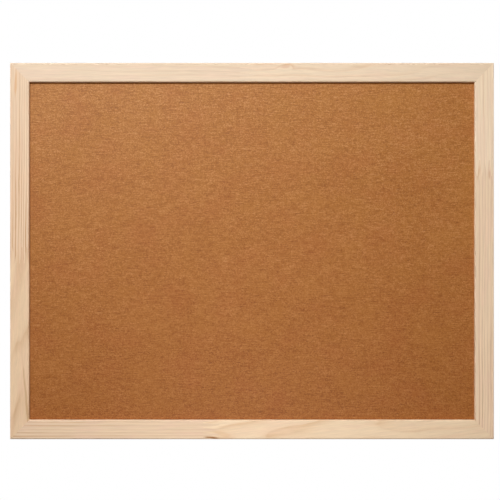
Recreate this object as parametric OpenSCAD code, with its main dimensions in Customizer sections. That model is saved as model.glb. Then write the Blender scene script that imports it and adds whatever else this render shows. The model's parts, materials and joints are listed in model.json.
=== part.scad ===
// Wall-hung cork bulletin board in a mitred pine frame.
// Frame: X runs along the width, Z is up, and the cork faces -Y.
// The origin is the centre of the board's overall box.

/* [Board] */
// Width over the frame
board_w = 450; // [300:5:900]
// Height over the frame
board_h = 350; // [250:5:600]

/* [Moulding] */
// Width of the moulding's face
face_w = 18; // [16:0.5:22]
// Depth of the moulding, front to back
frame_t = 15; // [14:0.5:18]
// Thickness of the lip in front of the cork
lip_t = 3; // [2.5:0.1:4]
// Radius of the outer front edge
outer_round = 1.5; // [0.8:0.1:2]
// Radius of the inner front edge
inner_round = 1.2; // [1:0.1:2.2]
// Radius of the two back edges
back_round = 0.8; // [0.4:0.1:1.2]
// Depth of the groove that holds the panel
groove_d = 6; // [5:0.5:7]

/* [Finger joints] */
// Length of one finger
finger_len = 15; // [10:1:20]
// Fingers across the moulding's face
finger_count = 4; // [3:1:5]
// Width of a finger's blunt tip
finger_tip = 0.5; // [0.3:0.1:1]
// Joint in the top rail, measured right of centre
top_joint = -4; // [-60:1:60]
// Joint in the bottom rail, measured right of centre
bottom_joint = -38; // [-60:1:60]
// Joint in the left stile, measured above centre
left_joint = -4; // [-60:1:60]
// Joint in the right stile, measured above centre
right_joint = 77; // [-60:1:77]

/* [Panel] */
// Thickness of the cork sheet
cork_t = 2; // [1.5:0.1:2.4]
// Thickness of the softboard core
core_t = 4; // [3:0.1:4]
// Thickness of the hardboard back
hardboard_t = 2; // [1.5:0.1:2]
// Gap round the panel's edges, inside the groove
panel_gap = 0.5; // [0.3:0.1:1]

/* [Hangers] */
// Height of the ring's pivot above the board's centre
hanger_z = 110; // [60:5:120]
// Width of the strap
strap_w = 8.5; // [8:0.1:8.6]
// Thickness of the strap's steel
strap_t = 0.8; // [0.7:0.05:0.9]
// Length of the strap below the pivot
strap_len = 24.5; // [24:0.5:28]
// Diameter of the ring's wire
wire_d = 2; // [1.8:0.1:2.1]
// Outer width of the D-ring
ring_w = 15; // [14.6:0.1:16]
// Distance from the pivot to the ring's far side, both at the wire's centre
ring_reach = 14; // [13:0.5:14.5]
// Tilt of the hanging ring away from the frame
ring_tilt = 4; // [4:0.5:5]

/* [Bumpers] */
// Diameter of a rubber bumper
bumper_d = 10; // [8:0.5:14]
// Height of a rubber bumper
bumper_h = 4; // [4:0.1:5]

/* [Hidden] */
$fn = 64;
eps = 0.01;

front_y = -(frame_t + bumper_h) / 2;
back_y = front_y + frame_t;
cork_y = front_y + lip_t;
core_y = cork_y + cork_t;
hardboard_y = core_y + core_t;
groove_w = cork_t + core_t + hardboard_t + 0.2;
panel_w = board_w - 2 * (face_w - groove_d + panel_gap);
panel_h = board_h - 2 * (face_w - groove_d + panel_gap);

// V-nails: two in each mitre, driven from the back
v_nail_insets = [4, 8.5];
v_nail_wing = 4.5;
v_nail_t = 0.4;
v_nail_h = 10;

// Hangers
wire_r = wire_d / 2;
eye_r = wire_r + 0.1;
barrel_r = eye_r + strap_t;
pivot_y = back_y + barrel_r;
hanger_x = board_w / 2 - face_w / 2;
neck_drop = 4;
neck_lap = 5;
strap_corner = 2;
corner_bend = 2;

// Pan-head wood screws, 3 x 12
screw_drop = 18.5;
screw_core_r = 1.1;
screw_thread_r = 1.5;
screw_len = 12;
screw_hole_r = 1.8;
thread_pitch = 1.2;
head_r = 2.9;
head_h = 1.9;
recess_r = 1.5;
recess_t = 0.7;
recess_d = 1.2;
point_len = 2.5;

// Bumpers, on the bottom rail
bumper_x = board_w / 2 - 30;
bumper_z = -board_h / 2 + face_w / 2;
bumper_round = 1.5;

// Frame

// What a quarter round of radius r leaves over at a corner whose material is towards +x and +y
module corner_waste(r) {
    difference() {
        translate([-eps, -eps]) square(r + eps);
        translate([r, r]) circle(r = r);
    }
}

// Section of the moulding: x is the depth from the front, y runs from the inner edge to the outer
module moulding_section() {
    difference() {
        square([frame_t, face_w]);
        corner_waste(inner_round);
        translate([0, face_w]) mirror([0, 1]) corner_waste(outer_round);
        translate([frame_t, 0]) mirror([1, 0]) corner_waste(back_round);
        translate([frame_t, face_w]) mirror([1, 0]) mirror([0, 1]) corner_waste(back_round);
        translate([lip_t, -eps]) square([groove_w, groove_d + eps]);
    }
}

// Zigzag of a finger joint, from the outer edge of a rail inwards
function finger_line(joint, reach) = [
    for (k = [0 : 2 * finger_count], tip = [1, -1])
        let (z = reach - k * face_w / (2 * finger_count) + tip * finger_tip / 2)
            [joint + (k % 2 == 0 ? -1 : 1) * finger_len / 2, z]
];

// One of a rail's two blanks, seen from the front: side -1 is the one at low x, and 1 the other
module blank_outline(length, reach, joint, side) {
    over = finger_tip / 2;
    polygon(concat(
        [[side * (length / 2 + over), reach + over]],
        finger_line(joint, reach),
        [[side * (length / 2 - face_w - over), reach - face_w - over]]
    ));
}

// A blank of a rail whose outer edge is at z = reach: the moulding, mitred and finger-jointed
module blank(length, reach, joint, side) {
    intersection() {
        translate([-length / 2, front_y, reach - face_w])
            rotate([90, 0, 90]) linear_extrude(length) moulding_section();
        translate([0, back_y + 1, 0])
            rotate([90, 0, 0]) linear_extrude(frame_t + 2) blank_outline(length, reach, joint, side);
    }
}

module pine_blank(turn, joint, side) {
    upright = turn % 180 != 0;
    length = upright ? board_h : board_w;
    reach = (upright ? board_w : board_h) / 2;
    color("burlywood") difference() {
        rotate([0, turn, 0]) blank(length, reach, joint, side);
        all_v_nails();
        if (upright) for (side = [-1, 1]) at_pivot(side) screw_shank();
    }
}

module at_pivot(side) { translate([side * hanger_x, pivot_y, hanger_z]) children(); }

// V-nails

// The pair in the top right mitre: each is an angle whose bend lies on the mitre line
module corner_v_nails() {
    for (inset = v_nail_insets)
        translate([board_w / 2 - inset, back_y, board_h / 2 - inset])
            rotate([90, 0, 0]) linear_extrude(v_nail_h) polygon([
                [0, 0], [-v_nail_wing, 0], [-v_nail_wing, -v_nail_t],
                [-v_nail_t, -v_nail_t], [-v_nail_t, -v_nail_wing], [0, -v_nail_wing]
            ]);
}

module v_nails(right, top) {
    color("silver") mirror([right ? 0 : 1, 0, 0]) mirror([0, 0, top ? 0 : 1]) corner_v_nails();
}

module all_v_nails() {
    for (right = [true, false], top = [true, false]) v_nails(right, top);
}

// Panel

module sheet(y, thickness) {
    translate([-panel_w / 2, y, -panel_h / 2]) cube([panel_w, thickness, panel_h]);
}

module cork_sheet() { color("peru") sheet(cork_y, cork_t); }
module softboard_core() { color("tan") sheet(core_y, core_t); }
module hardboard_back() { color("sienna") sheet(hardboard_y, hardboard_t); }

// Hangers: everything here is drawn round the ring's pivot

// The neck of the folded strap runs from layer two, at neck_from, tangent to the barrel
neck_from = [2 * strap_t - barrel_r, -neck_drop];
neck_angle = atan2(neck_from.y, neck_from.x) + acos(barrel_r / norm(neck_from));
function round_pivot(radius, angle) = radius * [cos(angle), sin(angle)];

// Side view of the strap: x is away from the frame, y is up
module strap_section() {
    translate([-barrel_r, -strap_len]) square([strap_t, strap_len]);
    translate([-barrel_r, -strap_len]) square([2 * strap_t, strap_len - neck_drop]);
    difference() {
        circle(r = barrel_r);
        circle(r = eye_r);
        polygon([
            [0, 0], round_pivot(3 * barrel_r, neck_angle - neck_lap), [0, -3 * barrel_r],
            [-3 * barrel_r, -3 * barrel_r], [-3 * barrel_r, 0]
        ]);
    }
    polygon([
        round_pivot(eye_r, neck_angle), neck_from - round_pivot(strap_t, neck_angle),
        neck_from - [strap_t, strap_t], neck_from - [0, strap_t],
        neck_from, round_pivot(barrel_r, neck_angle)
    ]);
}

module strap() {
    color("silver") difference() {
        translate([-strap_w / 2, 0, 0])
            rotate([90, 0, 90]) linear_extrude(strap_w) strap_section();
        for (side = [0, 1]) mirror([side, 0, 0])
            translate([-strap_w / 2, 0, -strap_len])
                rotate([90, 0, 0]) linear_extrude(4 * barrel_r, center = true) corner_waste(strap_corner);
        translate([0, 0, -screw_drop]) rotate([90, 0, 0]) cylinder(h = 4 * barrel_r, r = screw_hole_r, center = true);
    }
}

// The D-ring hangs from its straight leg, which turns in the strap's barrel
module d_ring() {
    half_w = ring_w / 2 - wire_r;
    bow_z = ring_reach - half_w;
    color("silver") rotate([ring_tilt, 0, 0]) {
        rotate([0, 90, 0]) cylinder(h = 2 * (half_w - corner_bend), r = wire_r, center = true);
        for (side = [0, 1]) mirror([side, 0, 0]) {
            translate([half_w - corner_bend, 0, -corner_bend])
                rotate([90, 0, 0]) rotate_extrude(angle = 90) translate([corner_bend, 0]) circle(r = wire_r);
            translate([half_w, 0, -bow_z]) cylinder(h = bow_z - corner_bend, r = wire_r);
        }
        translate([0, 0, -bow_z])
            rotate([90, 180, 0]) rotate_extrude(angle = 180) translate([half_w, 0]) circle(r = wire_r);
    }
}

// Half section of the screw's shank: y runs from the point to the head
module screw_section() {
    crests = floor((screw_len - point_len) / thread_pitch) - 2;
    polygon(concat(
        [[0, 0], [screw_core_r, point_len]],
        [for (k = [0 : crests], step = [0, 1, 2])
            [step == 1 ? screw_thread_r : screw_core_r, point_len + (k + 0.1 + step * 0.3) * thread_pitch]],
        [[screw_core_r, screw_len], [0, screw_len]]
    ));
}

module at_screw() {
    translate([0, 2 * strap_t - barrel_r, -screw_drop]) rotate([-90, 0, 0]) children();
}

// The shank, which is also the hole that it cuts in the stile
module screw_shank() {
    at_screw() translate([0, 0, -screw_len]) rotate_extrude() screw_section();
}

module hanger_screw() {
    color("gainsboro") {
        screw_shank();
        at_screw() difference() {
            pan_head();
            translate([0, 0, head_h - recess_d]) cross_recess();
        }
    }
}

module pan_head() {
    cylinder(h = head_h / 2, r = head_r);
    translate([0, 0, head_h / 2]) intersection() {
        cylinder(h = head_h / 2, r = head_r);
        translate([0, 0, -head_r]) sphere(r = head_r + head_h / 2);
    }
}

// Four wings that taper to the bottom of the recess
module cross_recess() {
    intersection() {
        for (turn = [0, 90]) rotate(turn)
            translate([-recess_r, -recess_t / 2, 0]) cube([2 * recess_r, recess_t, 2 * recess_d]);
        cylinder(h = 2 * recess_d, r1 = recess_t, r2 = 2 * recess_r);
    }
}

// Bumpers

module wall_bumper(side) {
    color("dimgray") translate([side * bumper_x, back_y, bumper_z]) rotate([-90, 0, 0])
        rotate_extrude() difference() {
            square([bumper_d / 2, bumper_h]);
            translate([bumper_d / 2, bumper_h]) mirror([1, 0]) mirror([0, 1]) corner_waste(bumper_round);
        }
}

pine_blank(0, top_joint, -1);  // top_rail_left_blank
pine_blank(0, top_joint, 1);  // top_rail_right_blank
pine_blank(180, -bottom_joint, 1);  // bottom_rail_left_blank
pine_blank(180, -bottom_joint, -1);  // bottom_rail_right_blank
pine_blank(270, left_joint, 1);  // left_stile_upper_blank
pine_blank(270, left_joint, -1);  // left_stile_lower_blank
pine_blank(90, -right_joint, -1);  // right_stile_upper_blank
pine_blank(90, -right_joint, 1);  // right_stile_lower_blank
cork_sheet();
softboard_core();
hardboard_back();
v_nails(false, true);  // v_nails_top_left
v_nails(true, true);  // v_nails_top_right
v_nails(false, false);  // v_nails_bottom_left
v_nails(true, false);  // v_nails_bottom_right
at_pivot(-1) strap();  // left_hanger_strap
at_pivot(-1) d_ring();  // left_d_ring
at_pivot(-1) hanger_screw();  // left_hanger_screw
at_pivot(1) strap();  // right_hanger_strap
at_pivot(1) d_ring();  // right_d_ring
at_pivot(1) hanger_screw();  // right_hanger_screw
wall_bumper(-1);  // left_wall_bumper
wall_bumper(1);  // right_wall_bumper
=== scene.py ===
import bpy
import bmesh
import json
import math
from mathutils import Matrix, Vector


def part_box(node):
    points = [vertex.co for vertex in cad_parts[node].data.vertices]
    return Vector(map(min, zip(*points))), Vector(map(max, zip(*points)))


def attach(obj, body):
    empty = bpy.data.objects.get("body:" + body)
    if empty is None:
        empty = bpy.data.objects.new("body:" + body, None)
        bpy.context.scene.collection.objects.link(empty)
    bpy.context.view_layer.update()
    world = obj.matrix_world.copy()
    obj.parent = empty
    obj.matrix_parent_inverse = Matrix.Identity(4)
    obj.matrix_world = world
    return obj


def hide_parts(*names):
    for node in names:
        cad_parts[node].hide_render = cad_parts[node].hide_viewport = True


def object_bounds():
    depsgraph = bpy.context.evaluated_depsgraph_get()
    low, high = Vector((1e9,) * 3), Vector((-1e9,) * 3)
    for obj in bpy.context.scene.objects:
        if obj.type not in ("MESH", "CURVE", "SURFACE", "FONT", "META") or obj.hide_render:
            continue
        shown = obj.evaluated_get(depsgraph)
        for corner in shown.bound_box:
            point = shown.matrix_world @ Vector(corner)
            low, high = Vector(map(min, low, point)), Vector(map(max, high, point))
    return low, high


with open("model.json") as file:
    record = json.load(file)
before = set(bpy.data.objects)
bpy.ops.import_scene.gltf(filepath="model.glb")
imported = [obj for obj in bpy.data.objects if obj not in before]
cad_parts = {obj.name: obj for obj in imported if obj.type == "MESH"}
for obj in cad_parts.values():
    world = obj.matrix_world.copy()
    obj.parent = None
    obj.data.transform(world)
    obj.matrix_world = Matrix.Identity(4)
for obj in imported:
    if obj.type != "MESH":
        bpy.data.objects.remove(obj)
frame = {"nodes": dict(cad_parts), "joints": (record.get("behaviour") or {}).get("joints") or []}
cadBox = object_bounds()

scene = bpy.context.scene
nodes = frame["nodes"]
mm = 0.001


def linearColour(hexColour):
    parts = [int(hexColour[i:i + 2], 16) / 255 for i in (1, 3, 5)]
    return tuple(p / 12.92 if p <= 0.04045 else ((p + 0.055) / 1.055) ** 2.4 for p in parts) + (1.0,)


# Adds a node with its settings. An input goes by name, or by number where names repeat, and its value
# may be a number, a colour, another node or one of that node's sockets.
def addNode(tree, kind, inputs=None, **settings):
    node = tree.nodes.new(kind)
    for setting, value in settings.items():
        setattr(node, setting, value)
    for name, value in (inputs or {}).items():
        socket = node.inputs[name] if isinstance(name, int) else next(
            s for s in node.inputs if s.enabled and s.name == name)
        if isinstance(value, bpy.types.Node):
            value = next(s for s in value.outputs if s.enabled)
        if isinstance(value, bpy.types.NodeSocket):
            tree.links.new(value, socket)
        else:
            socket.default_value = value
    return node


def newMaterial(name):
    material = bpy.data.materials.new(name)
    material.use_nodes = True
    material.node_tree.nodes.clear()
    return material, material.node_tree


def newTree(name, inputs):
    tree = bpy.data.node_groups.new(name, "GeometryNodeTree")
    for label, kind in inputs.items():
        tree.interface.new_socket(label, in_out="INPUT", socket_type="NodeSocket" + kind)
    tree.interface.new_socket("Geometry", in_out="OUTPUT", socket_type="NodeSocketGeometry")
    return tree, addNode(tree, "NodeGroupInput").outputs


def applyModifiers(piece):
    evaluated = piece.evaluated_get(bpy.context.evaluated_depsgraph_get())
    mesh = bpy.data.meshes.new_from_object(evaluated)
    piece.modifiers.clear()
    piece.data = mesh
    mesh.name = piece.name


# A piece grown by a Geometry Nodes tree, as a plain mesh with its faces turned outwards
def grownPiece(name, tree, values, mesh=None, sharpAngle=40):
    piece = bpy.data.objects.new(name, mesh or bpy.data.meshes.new(name))
    scene.collection.objects.link(piece)
    modifier = piece.modifiers.new(name, "NODES")
    modifier.node_group = tree
    for item in tree.interface.items_tree:
        if item.in_out == "INPUT" and item.name in values:
            modifier[item.identifier] = values[item.name]
    applyModifiers(piece)
    work = bmesh.new()
    work.from_mesh(piece.data)
    bmesh.ops.remove_doubles(work, verts=work.verts, dist=0.001 * mm)
    bmesh.ops.holes_fill(work, edges=[e for e in work.edges if e.is_boundary], sides=0)
    bmesh.ops.recalc_face_normals(work, faces=work.faces)
    work.to_mesh(piece.data)
    work.free()
    piece.data.polygons.foreach_set("use_smooth", [True] * len(piece.data.polygons))
    piece.data.set_sharp_from_angle(angle=math.radians(sharpAngle))
    return piece


# A copy of a node with its sharp edges eased, as a sanded, sawn or tumbled edge is
def easedCopy(nodeName, suffix, easing, material, segments=2):
    piece = bpy.data.objects.new(nodeName + suffix, nodes[nodeName].data.copy())
    scene.collection.objects.link(piece)
    work = bmesh.new()
    work.from_mesh(piece.data)
    bmesh.ops.remove_doubles(work, verts=work.verts, dist=0.002 * mm)
    bmesh.ops.dissolve_limit(work, angle_limit=math.radians(1), verts=work.verts, edges=work.edges)
    work.to_mesh(piece.data)
    work.free()
    piece.data.materials.clear()
    piece.data.materials.append(material)
    piece.data.polygons.foreach_set("material_index", [0] * len(piece.data.polygons))
    piece.data.polygons.foreach_set("use_smooth", [True] * len(piece.data.polygons))
    bevel = piece.modifiers.new("eased edges", "BEVEL")
    bevel.width = easing * mm
    bevel.segments = segments
    bevel.limit_method = "ANGLE"
    bevel.angle_limit = math.radians(40)
    piece.modifiers.new("flat faces stay flat", "WEIGHTED_NORMAL").keep_sharp = True
    applyModifiers(piece)
    return piece


def fitPiece(piece, body, slot, *replaced):
    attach(piece, body)
    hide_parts(*replaced)


# Each blank is its own piece of pine: pith is the offset in mm from the blank's centre to the tree's
# heart, grain the direction of the fibres, pitch the width of a year ring in mm, late the strength of
# the dark rings at the blank's two ends.
# A mark is a knot, resin streak or bark pocket: place, half size and turn, in mm and degrees.
pineBlanks = {
    "top_rail_left_blank": dict(
        pith=(0, 34, -46), grain=(1, 0.02, 0.006), pitch=3.6, wander=2.4, seed=3, late=(0.4, 0.55),
        early="#E9D0B3", autumn="#D9B490", blush="#EACCB2", marks=[]),
    "top_rail_right_blank": dict(
        pith=(0, 16, 13), grain=(1, 0.05, -0.015), pitch=3.4, wander=4.0, seed=9, late=(0.85, 0.2),
        early="#EFD6B8", autumn="#DCB48C", blush="#EFD0B4",
        marks=[dict(place=(32, 172), size=(6, 2.2), turn=-18, colour="#D9A27A", amount=0.4, swirl=2.4)]),
    "bottom_rail_left_blank": dict(
        pith=(0, 12, -70), grain=(1, 0.01, 0.004), pitch=3.1, wander=1.6, seed=14, late=(1.0, 0.55),
        early="#E9CCAC", autumn="#D0A27B", blush="#E8C4AA", marks=[]),
    "bottom_rail_right_blank": dict(
        pith=(-60, 20, -6), grain=(1, -0.035, 0.115), pitch=4.4, wander=3.4, seed=21, late=(0.75, 0.45),
        early="#F0D4B2", autumn="#D7AA7E", blush="#ECC9AA",
        marks=[dict(place=(-40, -173.7), size=(11.5, 1.5), turn=0, colour="#9A6128", amount=0.9, swirl=2.2),
               dict(place=(-28, -170), size=(10, 3), turn=14, colour="#D9A878", amount=0.3, swirl=1.5)]),
    "left_stile_upper_blank": dict(
        pith=(-88, 6, 0), grain=(0.004, 0.0, 1), pitch=2.3, wander=1.2, seed=28, late=(1.5, 0.3),
        early="#EBCDAD", autumn="#C08A5C", blush="#EAC3A1",
        marks=[dict(place=(-219.6, 155), size=(1.5, 15), turn=3, colour="#DDA876", amount=0.6, swirl=0.8)]),
    "left_stile_lower_blank": dict(
        pith=(9, 34, -30), grain=(0.06, 0.075, 1), pitch=6.0, wander=3.0, seed=33, late=(0.6, 0.5),
        early="#E8C8A4", autumn="#C6976E", blush="#E8C1A2",
        marks=[dict(place=(-210, -136), size=(1.3, 42), turn=-5, colour="#B78C5E", amount=0.5, swirl=0.5)]),
    "right_stile_upper_blank": dict(
        pith=(74, 9, 0), grain=(-0.006, 0.0, 1), pitch=3.0, wander=1.8, seed=41, late=(0.7, 0.45),
        early="#F9E0C1", autumn="#DEB48C", blush="#F8D8BC", marks=[]),
    "right_stile_lower_blank": dict(
        pith=(-92, 4, 0), grain=(0.003, 0.0, 1), pitch=2.7, wander=1.3, seed=47, late=(1.1, 0.35),
        early="#F3D6B5", autumn="#C39678", blush="#F0CCB0",
        marks=[dict(place=(210.5, 73), size=(2.0, 8), turn=10, colour="#D39C68", amount=0.35, swirl=1.6),
               dict(place=(220.5, 71), size=(1.1, 5), turn=0, colour="#CB9168", amount=0.4, swirl=0.8)]),
}
pineFinish = dict(
    easing=0.2,                             # mm, the eased arris, which shows as a fine line at each cut
    noises=dict(                            # size in mm along and across the grain, and detail
        wander=(90, 26, 1.5), waver=(14, 3, 1.0), strength=(160, 7, 1.0), fibre=(22, 0.7, 3.0),
        streak=(120, 2.4, 2.0), mottle=(34, 8, 2.0)),
    ring=((0.1, 0.0), (0.55, 0.1), (0.86, 0.8), (0.95, 1.0)),  # how dark, from spring to autumn
    ringSeam=0.4,                           # how dark where one year meets the next
    waver=0.5,                              # mm of waviness in a ring
    uneven=1.4, unevenPerMetre=90.0,        # good and poor years: how many rings' worth, and how often
    strength=(0.35, 1.1),                   # of the rings, from place to place
    mottled=0.5,                            # the most pink mottle
    fibreShade=(0.88, 0.99), streakShade=0.12,
    stainReach=(0.8, 1.6), pullReach=(0.75, 3.0), ragged=0.9,   # in half sizes of a mark
    markDepth=12,                           # mm
    relief=0.1, roughness=(0.5, 0.64), specular=0.3)           # relief in mm


# Knotty pine, planed, sanded and sealed with a thin matt lacquer: pale spring wood between darker,
# sharply ended autumn rings, with fine fibres along the grain and a faint pink and straw mottle.
def pineMaterial(nodeName, blank, finish):
    material, tree = newMaterial("matt lacquered pine, " + nodeName.replace("_", " "))
    low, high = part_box(nodeName)
    heart = (low + high) / 2 + Vector(blank["pith"]) * mm
    turn = Vector(blank["grain"]).to_track_quat("X", "Z").to_euler()
    place = addNode(tree, "ShaderNodeTexCoord").outputs["Object"]
    log = addNode(tree, "ShaderNodeMapping", {"Vector": place, "Location": heart, "Rotation": turn},
                  vector_type="TEXTURE")
    # each blank takes its figure from another stretch of the log, by its seed
    own = addNode(tree, "ShaderNodeVectorMath", {0: log, 1: (blank["seed"] * 0.37, blank["seed"] * 0.11, 0)})
    noises = {}
    for name, (long, wide, detail) in finish["noises"].items():
        drawn = addNode(tree, "ShaderNodeVectorMath", {0: own, 1: (long * mm, wide * mm, wide * mm)},
                        operation="DIVIDE")
        noises[name] = addNode(tree, "ShaderNodeTexNoise", {
            "Vector": drawn, "Scale": 1.0, "Detail": detail, "Roughness": 0.58})
    along = addNode(tree, "ShaderNodeSeparateXYZ", {0: log})
    across = addNode(tree, "ShaderNodeVectorMath", {0: log, 1: (0, 1, 1)}, operation="MULTIPLY")
    radius = addNode(tree, "ShaderNodeVectorMath", {0: across}, operation="LENGTH")
    for name, reach in (("wander", blank["wander"] * 2), ("waver", finish["waver"])):
        radius = addNode(tree, "ShaderNodeMath", {0: noises[name], 1: reach * mm, 2: radius},
                         operation="MULTIPLY_ADD")
    stains = []
    for mark in blank["marks"]:
        near = addNode(tree, "ShaderNodeMapping", {
            "Vector": place, "Location": (mark["place"][0] * mm, low.y, mark["place"][1] * mm),
            "Rotation": (0, math.radians(mark["turn"]), 0),
            "Scale": (mark["size"][0] * mm, finish["markDepth"] * mm, mark["size"][1] * mm)},
            vector_type="TEXTURE")
        away = addNode(tree, "ShaderNodeVectorMath", {0: near}, operation="LENGTH")
        away = addNode(tree, "ShaderNodeMath", {0: noises["waver"], 1: finish["ragged"], 2: away},
                       operation="MULTIPLY_ADD")
        pull = addNode(tree, "ShaderNodeMapRange", {
            "Value": away, "From Min": finish["pullReach"][0], "From Max": finish["pullReach"][1],
            "To Min": 1.0, "To Max": 0.0}, interpolation_type="SMOOTHSTEP")
        radius = addNode(tree, "ShaderNodeMath", {0: pull, 1: mark["swirl"] * mm, 2: radius},
                         operation="MULTIPLY_ADD")
        stains.append(addNode(tree, "ShaderNodeMapRange", {
            "Value": away, "From Min": finish["stainReach"][0], "From Max": finish["stainReach"][1],
            "To Min": mark["amount"], "To Max": 0.0}, interpolation_type="SMOOTHSTEP"))
    slow = addNode(tree, "ShaderNodeMath", {0: radius, 1: finish["unevenPerMetre"]}, operation="MULTIPLY")
    uneven = addNode(tree, "ShaderNodeTexNoise", {"W": slow, "Scale": 1.0, "Detail": 1.0},
                     noise_dimensions="1D")
    uneven = addNode(tree, "ShaderNodeMath", {0: uneven, 1: finish["uneven"]}, operation="MULTIPLY")
    years = addNode(tree, "ShaderNodeMath", {0: radius, 1: 1 / (blank["pitch"] * mm), 2: uneven},
                    operation="MULTIPLY_ADD")
    year = addNode(tree, "ShaderNodeMath", {0: years}, operation="FRACT")
    ring = addNode(tree, "ShaderNodeValToRGB", {0: year})
    for at, grey in finish["ring"]:
        ring.color_ramp.elements.new(at).color = (grey, grey, grey, 1)
    for end in (0, -1):
        ring.color_ramp.elements[end].color = (finish["ringSeam"],) * 3 + (1,)
    halfLength = max(high - low) / 2
    late = addNode(tree, "ShaderNodeMapRange", {
        "Value": along.outputs["X"], "From Min": -halfLength, "From Max": halfLength,
        "To Min": blank["late"][0], "To Max": blank["late"][1]})
    strength = addNode(tree, "ShaderNodeMapRange", {
        "Value": noises["strength"], "From Min": 0.3, "From Max": 0.7, "To Min": finish["strength"][0],
        "To Max": finish["strength"][1]}, interpolation_type="SMOOTHSTEP")
    late = addNode(tree, "ShaderNodeMath", {0: late, 1: strength}, operation="MULTIPLY")
    late = addNode(tree, "ShaderNodeMath", {0: late, 1: ring}, operation="MULTIPLY")
    colour = addNode(tree, "ShaderNodeMix", {
        "Factor": late, "A": linearColour(blank["early"]), "B": linearColour(blank["autumn"])},
        data_type="RGBA")
    pink = addNode(tree, "ShaderNodeMapRange", {
        "Value": noises["mottle"], "From Min": 0.42, "From Max": 0.66, "To Max": finish["mottled"]},
        interpolation_type="SMOOTHSTEP")
    colour = addNode(tree, "ShaderNodeMix", {
        "Factor": pink, "A": colour, "B": linearColour(blank["blush"])}, data_type="RGBA")
    shade = addNode(tree, "ShaderNodeMapRange", {
        "Value": noises["fibre"], "From Min": 0.25, "From Max": 0.75, "To Min": finish["fibreShade"][0],
        "To Max": finish["fibreShade"][1]}, interpolation_type="SMOOTHSTEP")
    shade = addNode(tree, "ShaderNodeMath", {0: noises["streak"], 1: finish["streakShade"], 2: shade},
                    operation="MULTIPLY_ADD")
    colour = addNode(tree, "ShaderNodeVectorMath", {0: colour, "Scale": shade}, operation="SCALE")
    for mark, stain in zip(blank["marks"], stains):
        colour = addNode(tree, "ShaderNodeMix", {
            "Factor": stain, "A": colour, "B": linearColour(mark["colour"])}, data_type="RGBA")
    relief = addNode(tree, "ShaderNodeMath", {0: ring, 1: 0.35, 2: noises["fibre"]},
                     operation="MULTIPLY_ADD")
    bump = addNode(tree, "ShaderNodeBump", {
        "Strength": 0.35, "Distance": finish["relief"] * mm, "Height": relief})
    roughness = addNode(tree, "ShaderNodeMapRange", {
        "Value": noises["fibre"], "From Min": 0.2, "From Max": 0.8, "To Min": finish["roughness"][0],
        "To Max": finish["roughness"][1]})
    shader = addNode(tree, "ShaderNodeBsdfPrincipled", {
        "Base Color": colour, "Roughness": roughness, "Specular IOR Level": finish["specular"],
        "Normal": bump})
    addNode(tree, "ShaderNodeOutputMaterial", {"Surface": shader})
    return material


for nodeName, blank in pineBlanks.items():
    pine = pineMaterial(nodeName, blank, pineFinish)
    piece = easedCopy(nodeName, "_planed", pineFinish["easing"], pine)
    fitPiece(piece, "board", "pine", nodeName)
print("frame: eight pine blanks planed and eased")

corkFace = dict(
    columns=350, rows=268,                  # grid that carries the relief
    relief=0.06, pit=0.22, grain=0.16,      # depths in mm, the last in the material only
    ripple=(6, 1.6, 5), pitSize=(3.4, 2.6, 3),    # mm, as all sizes here
    granule=(0.8, 0.8, 0.8),                # a small granule
    flake=(3.4, 2.4, 0.75),                 # a larger granule, pressed flat
    belt=(15, 6, 0.45), grit=(1.1, 3, 0.7),       # lines that the sanding belt leaves
    cloud=(60, 60, 40), hue=(38, 38, 30),
    fleckPitch=4.6,                         # average distance between specks
    weights=dict(belt=0.32, grit=0.3, granule=0.32, flake=0.17, cloud=0.12),  # of each in the tone
    light="#D39860", body="#AE6E2B", dark="#7E4208",
    straw="#B57A2C", russet="#B0602E", bark="#5E2C0C", pale="#E3B074",
    tints=(("straw", 0.32), ("russet", 0.68)), tinted=0.16,   # ends of the hue noise, and how strong
    flecks=(("bark", 0.62, 0.72), ("pale", 0.4, 0.3)), flecked=0.85,  # which specks, and how strong
    deep=(0.78, 0.65, 0.53), sunned=(1.05, 1.05, 1.05),  # painted shade and light: what the colour is times at the bottom and at the top, for the light's falloff downwards
    roughness=(0.5, 0.62), specular=0.38)
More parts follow.
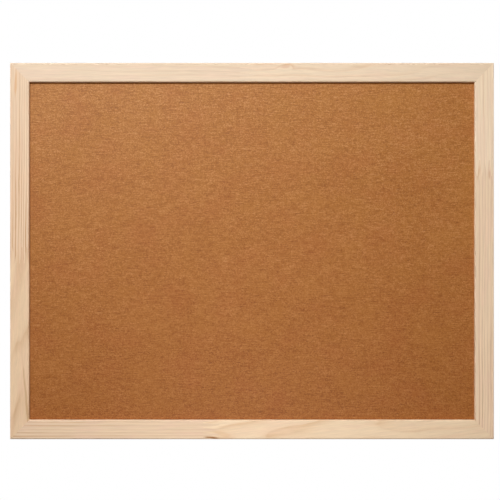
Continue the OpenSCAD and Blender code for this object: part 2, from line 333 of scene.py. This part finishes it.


# Fine-grain agglomerated cork, hot-pressed and belt-sanded: tiny granules, each a little lighter or
# darker, among larger ones pressed flat and level, with faint lines from the belt, russet and straw
# clouds, a few specks of bark and of pale cork, and painted shade that darkens it towards the bottom.
def corkMaterial(cork):
    material, tree = newMaterial("sanded fine-grain cork")
    place = addNode(tree, "ShaderNodeTexCoord").outputs["Object"]
    tones = {}
    for name, detail in (("belt", 0.0), ("grit", 1.0), ("cloud", 3.0), ("hue", 2.0)):
        drawn = addNode(tree, "ShaderNodeVectorMath", {0: place, 1: [s * mm for s in cork[name]]},
                        operation="DIVIDE")
        tones[name] = addNode(tree, "ShaderNodeTexNoise", {"Vector": drawn, "Scale": 1.0, "Detail": detail})
    cells = {}
    for name in ("granule", "flake"):
        drawn = addNode(tree, "ShaderNodeVectorMath", {0: place, 1: [s * mm for s in cork[name]]},
                        operation="DIVIDE")
        cells[name] = addNode(tree, "ShaderNodeTexVoronoi", {"Vector": drawn, "Scale": 1.0}).outputs
        tones[name] = addNode(tree, "ShaderNodeSeparateColor", {0: cells[name]["Color"]}).outputs[0]
    tone = 0.5 - sum(cork["weights"].values()) / 2  # so that the average is the body colour
    for name, weight in cork["weights"].items():
        tone = addNode(tree, "ShaderNodeMath", {0: tones[name], 1: weight, 2: tone},
                       operation="MULTIPLY_ADD")
    ramp = addNode(tree, "ShaderNodeValToRGB", {0: tone})
    for end, at, shade in ((0, 0.1, "dark"), (1, 0.9, "light")):
        ramp.color_ramp.elements[end].position = at
        ramp.color_ramp.elements[end].color = linearColour(cork[shade])
    ramp.color_ramp.elements.new(0.5).color = linearColour(cork["body"])
    colour = ramp
    for tint, full in cork["tints"]:
        amount = addNode(tree, "ShaderNodeMapRange", {
            "Value": tones["hue"], "From Min": 0.5, "From Max": full, "To Max": cork["tinted"]})
        colour = addNode(tree, "ShaderNodeMix", {
            "Factor": amount, "A": colour, "B": linearColour(cork[tint])}, data_type="RGBA")
    specks = addNode(tree, "ShaderNodeTexVoronoi", {"Vector": place, "Scale": 1 / (cork["fleckPitch"] * mm)})
    chosen = addNode(tree, "ShaderNodeSeparateColor", {0: specks.outputs["Color"]})
    for tint, least, most in cork["flecks"]:
        size = addNode(tree, "ShaderNodeMapRange", {
            "Value": chosen.outputs[1], "From Min": least, "From Max": most, "To Min": -0.06, "To Max": 0.13})
        fleck = addNode(tree, "ShaderNodeMath", {0: size, 1: specks.outputs["Distance"]},
                        operation="SUBTRACT")
        amount = addNode(tree, "ShaderNodeMapRange", {
            "Value": fleck, "From Min": 0.0, "From Max": 0.06, "To Max": cork["flecked"]})
        colour = addNode(tree, "ShaderNodeMix", {
            "Factor": amount, "A": colour, "B": linearColour(cork[tint])}, data_type="RGBA")
    # painted shade: the cork darkens towards the bottom and is a little lighter at the top, as the light
    # falls off downwards
    height = addNode(tree, "ShaderNodeSeparateXYZ", {0: place}).outputs["Z"]
    up = addNode(tree, "ShaderNodeMapRange", {
        "Value": height, "From Min": cadBox[0].z, "From Max": cadBox[1].z})
    paintedFalloff = addNode(tree, "ShaderNodeMix", {"Factor": up, "A": cork["deep"], "B": cork["sunned"]},
                   data_type="VECTOR")
    colour = addNode(tree, "ShaderNodeVectorMath", {0: colour, 1: paintedFalloff}, operation="MULTIPLY")
    seam = addNode(tree, "ShaderNodeMath", {0: cells["granule"]["Distance"], 1: -0.5, 2: tone},
                   operation="MULTIPLY_ADD")
    bump = addNode(tree, "ShaderNodeBump", {"Strength": 0.6, "Distance": cork["grain"] * mm, "Height": seam})
    roughness = addNode(tree, "ShaderNodeMapRange", {
        "Value": tones["granule"], "To Min": cork["roughness"][0], "To Max": cork["roughness"][1]})
    shader = addNode(tree, "ShaderNodeBsdfPrincipled", {
        "Base Color": colour, "Roughness": roughness, "Specular IOR Level": cork["specular"],
        "Normal": bump})
    addNode(tree, "ShaderNodeOutputMaterial", {"Surface": shader})
    return material


# A grid whose face dips where the cork is pitted, with walls down to its back
def corkTree(cork):
    tree, given = newTree("sanded cork face", {
        "Width": "Float", "Height": "Float", "Thickness": "Float", "Front": "Vector", "Columns": "Int",
        "Rows": "Int", "Relief": "Float", "Pit Depth": "Float", "Material": "Material"})
    grid = addNode(tree, "GeometryNodeMeshGrid", {
        "Size X": given["Width"], "Size Y": given["Height"],
        "Vertices X": given["Columns"], "Vertices Y": given["Rows"]}).outputs["Mesh"]
    where = addNode(tree, "GeometryNodeInputPosition")
    noises = {}
    for name, detail in (("ripple", 2.0), ("pitSize", 1.0)):
        drawn = addNode(tree, "ShaderNodeVectorMath", {0: where, 1: [s * mm for s in cork[name]]},
                        operation="DIVIDE")
        noises[name] = addNode(tree, "ShaderNodeTexNoise", {"Vector": drawn, "Scale": 1.0, "Detail": detail})
    pitted = addNode(tree, "ShaderNodeMapRange", {
        "Value": noises["pitSize"], "From Min": 0.68, "From Max": 0.78}, interpolation_type="SMOOTHSTEP")
    pitted = addNode(tree, "ShaderNodeMath", {0: pitted, 1: given["Pit Depth"]}, operation="MULTIPLY")
    dip = addNode(tree, "ShaderNodeMath", {0: noises["ripple"], 1: given["Relief"], 2: pitted},
                  operation="MULTIPLY_ADD")
    down = addNode(tree, "ShaderNodeMath", {0: dip, 1: -1.0}, operation="MULTIPLY")
    offset = addNode(tree, "ShaderNodeCombineXYZ", {"Z": down})
    face = addNode(tree, "GeometryNodeSetPosition", {"Geometry": grid, "Offset": offset})
    upright = addNode(tree, "GeometryNodeTransform", {
        "Geometry": face, "Translation": given["Front"], "Rotation": (math.radians(90), 0, 0)})
    neighbours = addNode(tree, "GeometryNodeInputMeshEdgeNeighbors")
    rim = addNode(tree, "FunctionNodeCompare", {"A": neighbours, "B": 1}, data_type="INT", operation="EQUAL")
    back = addNode(tree, "ShaderNodeCombineXYZ", {"Y": given["Thickness"]})
    walled = addNode(tree, "GeometryNodeExtrudeMesh", {"Mesh": upright, "Selection": rim, "Offset": back},
                     mode="EDGES")
    real = addNode(tree, "GeometryNodeRealizeInstances", {"Geometry": walled})
    painted = addNode(tree, "GeometryNodeSetMaterial", {"Geometry": real, "Material": given["Material"]})
    addNode(tree, "NodeGroupOutput", {"Geometry": painted})
    return tree


low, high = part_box("cork_sheet")
corkSheet = grownPiece("cork_face", corkTree(corkFace), {
    "Width": high.x - low.x, "Height": high.z - low.z, "Thickness": high.y - low.y, "Front": (0, low.y, 0),
    "Columns": corkFace["columns"], "Rows": corkFace["rows"],
    "Relief": corkFace["relief"] * mm, "Pit Depth": corkFace["pit"] * mm,
    "Material": corkMaterial(corkFace)}, sharpAngle=50)
fitPiece(corkSheet, "board", "cork", "cork_sheet")
print("panel: cork face with", len(corkSheet.data.polygons), "faces")

backBoards = dict(  # easing, fibre length, relief depth and screen pitch in mm
    softboard=dict(easing=0.5, body="#A88F6C", pale="#C9B492", dark="#7C6444", fibre=6, depth=0.3,
                   roughness=0.95, specular=0.1),
    hardboard=dict(easing=0.25, body="#805A37", pale="#8E673F", dark="#704D2C", fibre=3, depth=0.16,
                   roughness=0.6, specular=0.4, screen=1.6))


# Softboard is wood fibre felted wet and dried: loose, pale, woolly. Hardboard is the same fibre hot
# pressed on a wire screen: brown, dense and faintly shiny, with paler slivers in it and the screen's
# square print in its back, darkened by painted shade in its hollows and lightened on its ridges.
def fibreMaterial(name, board):
    material, tree = newMaterial(name)
    place = addNode(tree, "ShaderNodeTexCoord").outputs["Object"]
    length = board["fibre"]
    noises = {}
    for layer, size, detail in (("level", (length, 1, 0.5), 2.0), ("upright", (0.5, 1, length), 2.0),
                                ("blotch", (26, 26, 26), 3.0), ("shive", (1.6, 1.6, 1.6), 2.0)):
        drawn = addNode(tree, "ShaderNodeVectorMath", {0: place, 1: [s * mm for s in size]},
                        operation="DIVIDE")
        noises[layer] = addNode(tree, "ShaderNodeTexNoise", {
            "Vector": drawn, "Scale": 1.0, "Detail": detail, "Distortion": 0.6})
    felt = addNode(tree, "ShaderNodeMath", {0: noises["level"], 1: noises["upright"]}, operation="MAXIMUM")
    tone = 0.08
    for layer, weight in ((noises["blotch"], 0.3), (felt, 0.4), (noises["shive"], 0.7)):
        tone = addNode(tree, "ShaderNodeMath", {0: layer, 1: weight, 2: tone}, operation="MULTIPLY_ADD")
    colour = addNode(tree, "ShaderNodeValToRGB", {0: tone})
    for end, at, shade in ((0, 0.6, "dark"), (1, 1.0, "pale")):
        colour.color_ramp.elements[end].position = at
        colour.color_ramp.elements[end].color = linearColour(board[shade])
    colour.color_ramp.elements.new(0.8).color = linearColour(board["body"])
    relief = felt
    if "screen" in board:
        turns = addNode(tree, "ShaderNodeVectorMath", {
            0: place, "Scale": 2 * math.pi / (board["screen"] * mm)}, operation="SCALE")
        turns = addNode(tree, "ShaderNodeSeparateXYZ", {0: turns})
        wires = [addNode(tree, "ShaderNodeMath", {0: turns.outputs[axis]}, operation="SINE") for axis in "XZ"]
        weave = addNode(tree, "ShaderNodeMath", {0: wires[0], 1: wires[1]}, operation="MULTIPLY")
        # painted shade and light: the colour darkens in the screen's hollows and lightens on its ridges,
        # following the relief
        screenHollowShade = addNode(tree, "ShaderNodeMapRange", {
            "Value": weave, "From Min": -0.6, "From Max": 0.7, "To Min": 0.8, "To Max": 1.08})
        colour = addNode(tree, "ShaderNodeVectorMath", {0: colour, "Scale": screenHollowShade}, operation="SCALE")
        relief = addNode(tree, "ShaderNodeMath", {0: felt, 1: 0.3, 2: weave}, operation="MULTIPLY_ADD")
    bump = addNode(tree, "ShaderNodeBump", {
        "Strength": 0.6, "Distance": board["depth"] * mm, "Height": relief})
    shader = addNode(tree, "ShaderNodeBsdfPrincipled", {
        "Base Color": colour, "Roughness": board["roughness"],
        "Specular IOR Level": board["specular"], "Normal": bump})
    addNode(tree, "ShaderNodeOutputMaterial", {"Surface": shader})
    return material


softboard = fibreMaterial("felted softboard", backBoards["softboard"])
core = easedCopy("softboard_core", "_felted", backBoards["softboard"]["easing"], softboard)
fitPiece(core, "board", "softboard", "softboard_core")
hardboard = fibreMaterial("pressed hardboard, screen back", backBoards["hardboard"])
back = easedCopy("hardboard_back", "_pressed", backBoards["hardboard"]["easing"], hardboard)
fitPiece(back, "board", "hardboard", "hardboard_back")
print("panel: softboard and hardboard laid in")

zincFinish = dict(cool="#C3C8CE", warm="#D3CDBB", bloom=(9, 9, 9), scuff=(2.4, 0.3, 0.25),
                  grit=(0.2, 0.2, 0.2), depth=0.02, roughness=(0.28, 0.42))  # sizes and depth in mm


# Barrel-plated zinc on mild steel, clear passivated: grey-white metal with cool and straw blooms,
# small scuffs from the tumbling barrel and an uneven satin gloss.
def zincMaterial(zinc):
    material, tree = newMaterial("bright zinc-plated steel")
    place = addNode(tree, "ShaderNodeTexCoord").outputs["Object"]
    noises = {}
    for name, detail in (("bloom", 2.0), ("scuff", 2.0), ("grit", 1.0)):
        drawn = addNode(tree, "ShaderNodeVectorMath", {0: place, 1: [s * mm for s in zinc[name]]},
                        operation="DIVIDE")
        noises[name] = addNode(tree, "ShaderNodeTexNoise", {"Vector": drawn, "Scale": 1.0, "Detail": detail})
    tint = addNode(tree, "ShaderNodeMapRange", {"Value": noises["bloom"], "From Min": 0.38, "From Max": 0.66})
    colour = addNode(tree, "ShaderNodeMix", {
        "Factor": tint, "A": linearColour(zinc["cool"]), "B": linearColour(zinc["warm"])}, data_type="RGBA")
    roughness = addNode(tree, "ShaderNodeMapRange", {
        "Value": noises["scuff"], "From Min": 0.3, "From Max": 0.7, "To Min": zinc["roughness"][0],
        "To Max": zinc["roughness"][1]})
    relief = addNode(tree, "ShaderNodeMath", {0: noises["scuff"], 1: noises["grit"]})
    bump = addNode(tree, "ShaderNodeBump", {
        "Strength": 0.14, "Distance": zinc["depth"] * mm, "Height": relief})
    shader = addNode(tree, "ShaderNodeBsdfPrincipled", {
        "Base Color": colour, "Metallic": 1.0, "Roughness": roughness, "Normal": bump})
    addNode(tree, "ShaderNodeOutputMaterial", {"Surface": shader})
    return material


zinc = zincMaterial(zincFinish)

# Two nails in each mitre, inset from the corner and sunk a little below the back, in mm and degrees
vNails = dict(insets=(4, 8.5), wing=4.5, thickness=0.4, lip=0.9, lipTurn=70, sunk=0.25)


# Steel strip bent to an angle with a curled lip on each wing, one for each point of a row
def vNailTree():
    tree, given = newTree("V-nails", {
        "Geometry": "Geometry", "Depth": "Float", "Thickness": "Float", "First": "Vector",
        "Step": "Vector", "Count": "Int", "Material": "Material"})
    inwards = addNode(tree, "ShaderNodeMath", {0: given["Depth"], 1: -1.0}, operation="MULTIPLY")
    drive = addNode(tree, "ShaderNodeCombineXYZ", {"Y": inwards})
    strip = addNode(tree, "GeometryNodeExtrudeMesh", {"Mesh": given["Geometry"], "Offset": drive},
                    mode="EDGES")
    outer = addNode(tree, "GeometryNodeExtrudeMesh", {
        "Mesh": strip, "Offset Scale": given["Thickness"], "Individual": False}, mode="FACES")
    inner = addNode(tree, "GeometryNodeFlipFaces", {"Mesh": strip})
    both = addNode(tree, "GeometryNodeJoinGeometry", {"Geometry": outer})
    tree.links.new(inner.outputs[0], both.inputs[0])
    nail = addNode(tree, "GeometryNodeMergeByDistance", {"Geometry": both, "Distance": 0.001 * mm})
    row = addNode(tree, "GeometryNodeMeshLine", {
        "Count": given["Count"], "Start Location": given["First"], "Offset": given["Step"]})
    nails = addNode(tree, "GeometryNodeInstanceOnPoints", {"Points": row, "Instance": nail})
    real = addNode(tree, "GeometryNodeRealizeInstances", {"Geometry": nails})
    painted = addNode(tree, "GeometryNodeSetMaterial", {"Geometry": real, "Material": given["Material"]})
    addNode(tree, "NodeGroupOutput", {"Geometry": painted})
    return tree


# The strip's inner line: lip, wing, bend, wing, lip, for a corner that points towards sideX, sideZ
def vNailLine(nail, sideX, sideZ):
    inside = nail["thickness"]
    turns = [math.radians(nail["lipTurn"]), math.radians(nail["lipTurn"] / 2)]
    lipTurn = [(nail["lip"] * math.sin(a), nail["lip"] * (1 - math.cos(a))) for a in turns]
    reach = nail["wing"] - nail["lip"]
    wing = [(reach + x, inside + y) for x, y in lipTurn] + [(reach, inside)]
    line = wing + [(inside, inside)] + [(y, x) for x, y in reversed(wing)]
    mesh = bpy.data.meshes.new("V-nail line")
    points = [(-sideX * x * mm, 0, -sideZ * z * mm) for x, z in line]
    mesh.from_pydata(points, [(i, i + 1) for i in range(len(points) - 1)], [])
    return mesh


vNailsTree = vNailTree()
for sideZ, level in ((1, "top"), (-1, "bottom")):
    for sideX, side in ((-1, "left"), (1, "right")):
        nodeName = "v_nails_" + level + "_" + side
        low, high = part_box(nodeName)
        corner = Vector((sideX * cadBox[1].x, high.y - vNails["sunk"] * mm, sideZ * cadBox[1].z))
        inward = Vector((-sideX, 0, -sideZ)) * mm
        outer, inner = vNails["insets"]
        piece = grownPiece(nodeName + "_driven", vNailsTree, {
            "Depth": high.y - low.y - vNails["sunk"] * mm,
            "Thickness": vNails["thickness"] * mm * sideX * sideZ,
            "First": corner + inward * outer, "Step": inward * (inner - outer),
            "Count": len(vNails["insets"]), "Material": zinc}, mesh=vNailLine(vNails, sideX, sideZ))
        fitPiece(piece, "board", "zinc_plate", nodeName)
print("frame: V-nails driven")

dRing = dict(wire=2, width=15, reach=14, legBend=2, tilt=4)  # mm; the tilt off the wall is in degrees


# Round wire bent to a D: the straight leg on top, small bends at its ends, and a half-round bow
def dRingTree():
    tree, given = newTree("D-ring", {
        "Wire": "Float", "Width": "Float", "Reach": "Float", "Leg Bend": "Float", "Tilt": "Vector",
        "Pivot": "Vector", "Material": "Material"})
    across = addNode(tree, "ShaderNodeMath", {0: given["Width"], 1: given["Wire"]}, operation="SUBTRACT")
    outline = addNode(tree, "GeometryNodeCurvePrimitiveQuadrilateral", {
        "Width": across, "Height": given["Reach"]})
    drop = addNode(tree, "ShaderNodeMath", {0: given["Reach"], 1: -0.5}, operation="MULTIPLY")
    below = addNode(tree, "ShaderNodeCombineXYZ", {"Y": drop})
    hung = addNode(tree, "GeometryNodeTransform", {"Geometry": outline, "Translation": below})
    height = addNode(tree, "ShaderNodeSeparateXYZ", {0: addNode(tree, "GeometryNodeInputPosition")})
    atLeg = addNode(tree, "FunctionNodeCompare", {"A": height.outputs["Y"], "B": -1 * mm},
                    data_type="FLOAT", operation="GREATER_THAN")
    # just under half the width, so that the two lower bends meet in a half-round bow
    bow = addNode(tree, "ShaderNodeMath", {0: across, 1: 0.499}, operation="MULTIPLY")
    bend = addNode(tree, "GeometryNodeSwitch", {"Switch": atLeg, "False": bow, "True": given["Leg Bend"]},
                   input_type="FLOAT")
    bent = addNode(tree, "GeometryNodeFilletCurve", {
        "Curve": hung, "Count": 20, "Radius": bend, "Limit Radius": True}, mode="POLY")
    radius = addNode(tree, "ShaderNodeMath", {0: given["Wire"], 1: 0.5}, operation="MULTIPLY")
    section = addNode(tree, "GeometryNodeCurvePrimitiveCircle", {"Resolution": 20, "Radius": radius})
    wire = addNode(tree, "GeometryNodeCurveToMesh", {"Curve": bent, "Profile Curve": section})
    placed = addNode(tree, "GeometryNodeTransform", {
        "Geometry": wire, "Translation": given["Pivot"], "Rotation": given["Tilt"]})
    real = addNode(tree, "GeometryNodeRealizeInstances", {"Geometry": placed})
    painted = addNode(tree, "GeometryNodeSetMaterial", {"Geometry": real, "Material": given["Material"]})
    addNode(tree, "NodeGroupOutput", {"Geometry": painted})
    return tree


hangerScrew = dict(core=2.2, thread=3, length=12, pitch=1.2, point=2.5, head=5.8, headHeight=1.9,
                   recess=3, slot=0.7, slotDepth=1.2,  # mm, a 3 x 12 pan head
                   threaded=0.9)                       # share of the straight shank that has thread


# Rolled thread wound round a core that runs out to a point, and a domed head with a cross in it
def screwTree():
    tree, given = newTree("pan-head screw", {
        "Core": "Float", "Thread": "Float", "Length": "Float", "Point": "Float", "Threaded": "Float",
        "Turns": "Float", "Head": "Float", "Head Height": "Float", "Recess": "Float", "Slot": "Float",
        "Slot Depth": "Float", "Seat": "Vector", "Material": "Material"})
    halves = {}
    for name in ("Core", "Thread", "Head", "Head Height"):
        halves[name] = addNode(tree, "ShaderNodeMath", {0: given[name], 1: 0.5}, operation="MULTIPLY")
    straight = addNode(tree, "ShaderNodeMath", {0: given["Length"], 1: given["Point"]}, operation="SUBTRACT")
    middle = addNode(tree, "ShaderNodeMath", {0: straight, 1: -0.5}, operation="MULTIPLY")
    core = addNode(tree, "GeometryNodeMeshCylinder", {
        "Vertices": 24, "Radius": halves["Core"], "Depth": straight}, fill_type="NGON")
    core = addNode(tree, "GeometryNodeTransform", {
        "Geometry": core, "Translation": addNode(tree, "ShaderNodeCombineXYZ", {"Z": middle})})
    tipTop = addNode(tree, "ShaderNodeMath", {0: given["Length"], 1: -1.0}, operation="MULTIPLY")
    tip = addNode(tree, "GeometryNodeMeshCone", {
        "Vertices": 24, "Radius Top": halves["Core"], "Radius Bottom": 0.02 * mm, "Depth": given["Point"]},
        fill_type="NGON")
    tip = addNode(tree, "GeometryNodeTransform", {
        "Geometry": tip, "Translation": addNode(tree, "ShaderNodeCombineXYZ", {"Z": tipTop})})
    rise = addNode(tree, "ShaderNodeMath", {0: straight, 1: given["Threaded"]}, operation="MULTIPLY")
    helix = addNode(tree, "GeometryNodeCurveSpiral", {
        "Resolution": 24, "Rotations": given["Turns"], "Start Radius": halves["Core"],
        "End Radius": halves["Core"], "Height": rise})
    crest = addNode(tree, "ShaderNodeMath", {0: halves["Thread"], 1: halves["Core"]}, operation="SUBTRACT")
    crestSection = addNode(tree, "GeometryNodeCurvePrimitiveCircle", {"Resolution": 3, "Radius": crest})
    thread = addNode(tree, "GeometryNodeCurveToMesh", {
        "Curve": helix, "Profile Curve": crestSection, "Fill Caps": True})
    lowest = addNode(tree, "ShaderNodeMath", {0: straight, 1: -1.0}, operation="MULTIPLY")
    thread = addNode(tree, "GeometryNodeTransform", {
        "Geometry": thread, "Translation": addNode(tree, "ShaderNodeCombineXYZ", {"Z": lowest})})
    blank = addNode(tree, "GeometryNodeMeshCylinder", {
        "Vertices": 48, "Side Segments": 6, "Fill Segments": 8, "Radius": halves["Head"],
        "Depth": given["Head Height"]}, fill_type="TRIANGLE_FAN")
    # the upper half of the head sags with the cube of the distance from its middle, to a low dome
    where = addNode(tree, "GeometryNodeInputPosition")
    spread = addNode(tree, "ShaderNodeVectorMath", {0: where, 1: (1, 1, 0)}, operation="MULTIPLY")
    spread = addNode(tree, "ShaderNodeVectorMath", {0: spread}, operation="LENGTH")
    outward = addNode(tree, "ShaderNodeMath", {0: spread, 1: halves["Head"]}, operation="DIVIDE")
    outward = addNode(tree, "ShaderNodeMath", {0: outward, 1: 3.0}, operation="POWER")
    level = addNode(tree, "ShaderNodeSeparateXYZ", {0: where})
    raised = addNode(tree, "ShaderNodeMath", {0: level.outputs["Z"], 1: 0.0}, operation="MAXIMUM")
    sag = addNode(tree, "ShaderNodeMath", {0: outward, 1: raised}, operation="MULTIPLY")
    sag = addNode(tree, "ShaderNodeMath", {0: sag, 1: -0.85}, operation="MULTIPLY")
    dome = addNode(tree, "GeometryNodeSetPosition", {
        "Geometry": blank, "Offset": addNode(tree, "ShaderNodeCombineXYZ", {"Z": sag})})
    dome = addNode(tree, "GeometryNodeTransform", {
        "Geometry": dome, "Translation": addNode(tree, "ShaderNodeCombineXYZ", {
            "Z": halves["Head Height"]})})
    deep = addNode(tree, "ShaderNodeMath", {0: given["Slot Depth"], 1: 2.0}, operation="MULTIPLY")
    wing = addNode(tree, "GeometryNodeMeshCube", {"Size": addNode(tree, "ShaderNodeCombineXYZ", {
        "X": given["Recess"], "Y": given["Slot"], "Z": deep})})
    wing = addNode(tree, "GeometryNodeTransform", {
        "Geometry": wing,
        "Translation": addNode(tree, "ShaderNodeCombineXYZ", {"Z": given["Head Height"]})})
    crossed = addNode(tree, "GeometryNodeTransform", {"Geometry": wing, "Rotation": (0, 0, math.radians(90))})
    for cutter in (wing, crossed):
        dome = addNode(tree, "GeometryNodeMeshBoolean", {"Mesh 1": dome, "Mesh 2": cutter},
                       operation="DIFFERENCE", solver="EXACT")
    whole = addNode(tree, "GeometryNodeJoinGeometry")
    for part in (core, tip, thread, dome):
        tree.links.new(part.outputs[0], whole.inputs[0])
    seated = addNode(tree, "GeometryNodeTransform", {
        "Geometry": whole, "Translation": given["Seat"], "Rotation": (math.radians(-90), 0, 0)})
    real = addNode(tree, "GeometryNodeRealizeInstances", {"Geometry": seated})
    painted = addNode(tree, "GeometryNodeSetMaterial", {"Geometry": real, "Material": given["Material"]})
    addNode(tree, "NodeGroupOutput", {"Geometry": painted})
    return tree


hangerStrap = dict(easing=0.12)  # mm, the blanked and tumbled edge of folded 0.8 mm strip
dRingGrown = dRingTree()
screwGrown = screwTree()
for joint in frame["joints"]:
    side = joint["child"].split("_")[0]
    pivot = Vector(joint["pos_m"])
    strap = easedCopy(side + "_hanger_strap", "_folded", hangerStrap["easing"], zinc)
    fitPiece(strap, "board", "zinc_plate", side + "_hanger_strap")
    ring = grownPiece(side + "_d_ring_bent", dRingGrown, {
        "Wire": dRing["wire"] * mm, "Width": dRing["width"] * mm, "Reach": dRing["reach"] * mm,
        "Leg Bend": dRing["legBend"] * mm, "Tilt": (math.radians(90 + dRing["tilt"]), 0, 0),
        "Pivot": pivot, "Material": zinc})
    fitPiece(ring, joint["child"], "zinc_plate", side + "_d_ring")
    straight = hangerScrew["length"] - hangerScrew["point"]
    low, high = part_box(side + "_hanger_screw")
    seat = Vector(((low.x + high.x) / 2, high.y - hangerScrew["headHeight"] * mm, (low.z + high.z) / 2))
    screw = grownPiece(side + "_hanger_screw_threaded", screwGrown, {
        "Core": hangerScrew["core"] * mm, "Thread": hangerScrew["thread"] * mm,
        "Length": hangerScrew["length"] * mm, "Point": hangerScrew["point"] * mm,
        "Threaded": hangerScrew["threaded"],
        "Turns": straight * hangerScrew["threaded"] / hangerScrew["pitch"],
        "Head": hangerScrew["head"] * mm, "Head Height": hangerScrew["headHeight"] * mm,
        "Recess": hangerScrew["recess"] * mm, "Slot": hangerScrew["slot"] * mm,
        "Slot Depth": hangerScrew["slotDepth"] * mm, "Seat": seat, "Material": zinc})
    fitPiece(screw, "board", "zinc_plate", side + "_hanger_screw")
print("hangers: straps folded, rings bent, screws driven")

wallBumper = dict(easing=0.3, grain=0.5, dust=2.5, depth=0.05,  # mm
                  colour="#2C2C2E", dusty="#4A4845", roughness=(0.55, 0.85), specular=0.45)


# Black rubber moulded in a spark-eroded tool: a fine even grain, matt, with a little dust on it
def rubberMaterial(bumper):
    material, tree = newMaterial("moulded black rubber")
    place = addNode(tree, "ShaderNodeTexCoord").outputs["Object"]
    noises = {}
    for name, detail in (("grain", 1.0), ("dust", 3.0)):
        noises[name] = addNode(tree, "ShaderNodeTexNoise", {
            "Vector": place, "Scale": 1 / (bumper[name] * mm), "Detail": detail})
    dust = addNode(tree, "ShaderNodeMapRange", {
        "Value": noises["dust"], "From Min": 0.45, "From Max": 0.75, "To Max": 0.6})
    colour = addNode(tree, "ShaderNodeMix", {
        "Factor": dust, "A": linearColour(bumper["colour"]), "B": linearColour(bumper["dusty"])},
        data_type="RGBA")
    roughness = addNode(tree, "ShaderNodeMapRange", {
        "Value": dust, "To Min": bumper["roughness"][0], "To Max": bumper["roughness"][1]})
    bump = addNode(tree, "ShaderNodeBump", {
        "Strength": 0.5, "Distance": bumper["depth"] * mm, "Height": noises["grain"]})
    shader = addNode(tree, "ShaderNodeBsdfPrincipled", {
        "Base Color": colour, "Roughness": roughness, "Specular IOR Level": bumper["specular"],
        "Normal": bump})
    addNode(tree, "ShaderNodeOutputMaterial", {"Surface": shader})
    return material


rubber = rubberMaterial(wallBumper)
for side in ("left", "right"):
    bumper = easedCopy(side + "_wall_bumper", "_moulded", wallBumper["easing"], rubber)
    fitPiece(bumper, "board", "bumper_rubber", side + "_wall_bumper")
print("wall bumpers stuck on")

studio = dict(
    lens=70, imageWidth=464.5, offset=(-1.85, 0.95),  # mm: width seen at the board's face, and aim off centre
    fill=0.29, fillTone="#FFEBCC",
    floorDrop=1.1, floorReach=3.2,                    # metres
    floorPaint="#6E6E6C", floorShown=0.93)
lightBoxes = {                                        # metres, watts and degrees
    "key soft box": dict(place=(-0.46, -1.54, 1.14), aim=(-0.06, 0, 0.04), size=0.45, power=6.4,
                         spread=76, tone="#F1F7FF"),
    "low white card": dict(place=(0, -0.55, -0.4), aim=(0, 0, -0.15), size=0.12, power=0.13,
                           spread=70, tone="#FFFFFF"),
    "right soft box": dict(place=(2.0, 0.5, 0.4), aim=(0, 0, 0), size=0.9, power=14, spread=180,
                           tone="#FFFFFF"),
    "left soft box": dict(place=(-2.0, 0.5, 0.4), aim=(0, 0, 0), size=0.9, power=14, spread=180,
                          tone="#FFFFFF"),
    "back soft box": dict(place=(0.6, 2.0, 0.8), aim=(0, 0, 0), size=1.2, power=38, spread=180,
                          tone="#FFFFFF")}

cameraData = bpy.data.cameras.new("front camera")
camera = bpy.data.objects.new("front camera", cameraData)
scene.collection.objects.link(camera)
cameraData.lens = studio["lens"]
reach = studio["imageWidth"] * mm * studio["lens"] / cameraData.sensor_width
camera.location = (studio["offset"][0] * mm, cadBox[0].y - reach, studio["offset"][1] * mm)
camera.rotation_euler = (math.radians(90), 0, 0)
scene.camera = camera

# The room is plain white to the camera and gives a weaker, warmer, even light
world = bpy.data.worlds.new("white studio")
scene.world = world
world.use_nodes = True
world.node_tree.nodes.clear()
seen = addNode(world.node_tree, "ShaderNodeLightPath").outputs["Is Camera Ray"]
strength = addNode(world.node_tree, "ShaderNodeMapRange", {
    "Value": seen, "To Min": studio["fill"], "To Max": 1.0})
tone = addNode(world.node_tree, "ShaderNodeMix", {
    "Factor": seen, "A": linearColour(studio["fillTone"]), "B": (1, 1, 1, 1)}, data_type="RGBA")
glow = addNode(world.node_tree, "ShaderNodeBackground", {"Color": tone, "Strength": strength})
addNode(world.node_tree, "ShaderNodeOutputWorld", {"Surface": glow})

for name, box in lightBoxes.items():
    lightData = bpy.data.lights.new(name, "AREA")
    lightData.shape = "DISK"
    lightData.size = box["size"]
    lightData.energy = box["power"]
    lightData.color = linearColour(box["tone"])[:3]
    lightData.spread = math.radians(box["spread"])
    light = bpy.data.objects.new(name, lightData)
    scene.collection.objects.link(light)
    light.location = box["place"]
    light.rotation_euler = (Vector(box["aim"]) - light.location).to_track_quat("-Z", "Y").to_euler()

# A round floor well below the board, which gives a little light back
floorWork = bmesh.new()
bmesh.ops.create_circle(floorWork, cap_ends=True, segments=96, radius=studio["floorReach"])
bmesh.ops.translate(floorWork, verts=floorWork.verts, vec=(0, 0, -studio["floorDrop"]))
floorMesh = bpy.data.meshes.new("pale floor")
floorWork.to_mesh(floorMesh)
floorWork.free()
floor = bpy.data.objects.new("pale floor", floorMesh)
scene.collection.objects.link(floor)
floorMaterial, floorTree = newMaterial("matt pale floor, shown paler than the light it returns")
floorSeen = addNode(floorTree, "ShaderNodeLightPath").outputs["Is Camera Ray"]
floorPaint = addNode(floorTree, "ShaderNodeBsdfDiffuse", {"Color": linearColour(studio["floorPaint"])})
floorGlow = addNode(floorTree, "ShaderNodeEmission", {
    "Color": (1, 1, 1, 1), "Strength": studio["floorShown"]})
addNode(floorTree, "ShaderNodeOutputMaterial", {"Surface": addNode(floorTree, "ShaderNodeMixShader", {
    0: floorSeen, 1: floorPaint, 2: floorGlow})})
floorMesh.materials.append(floorMaterial)
scene.view_settings.view_transform = "Standard"
print("studio set")
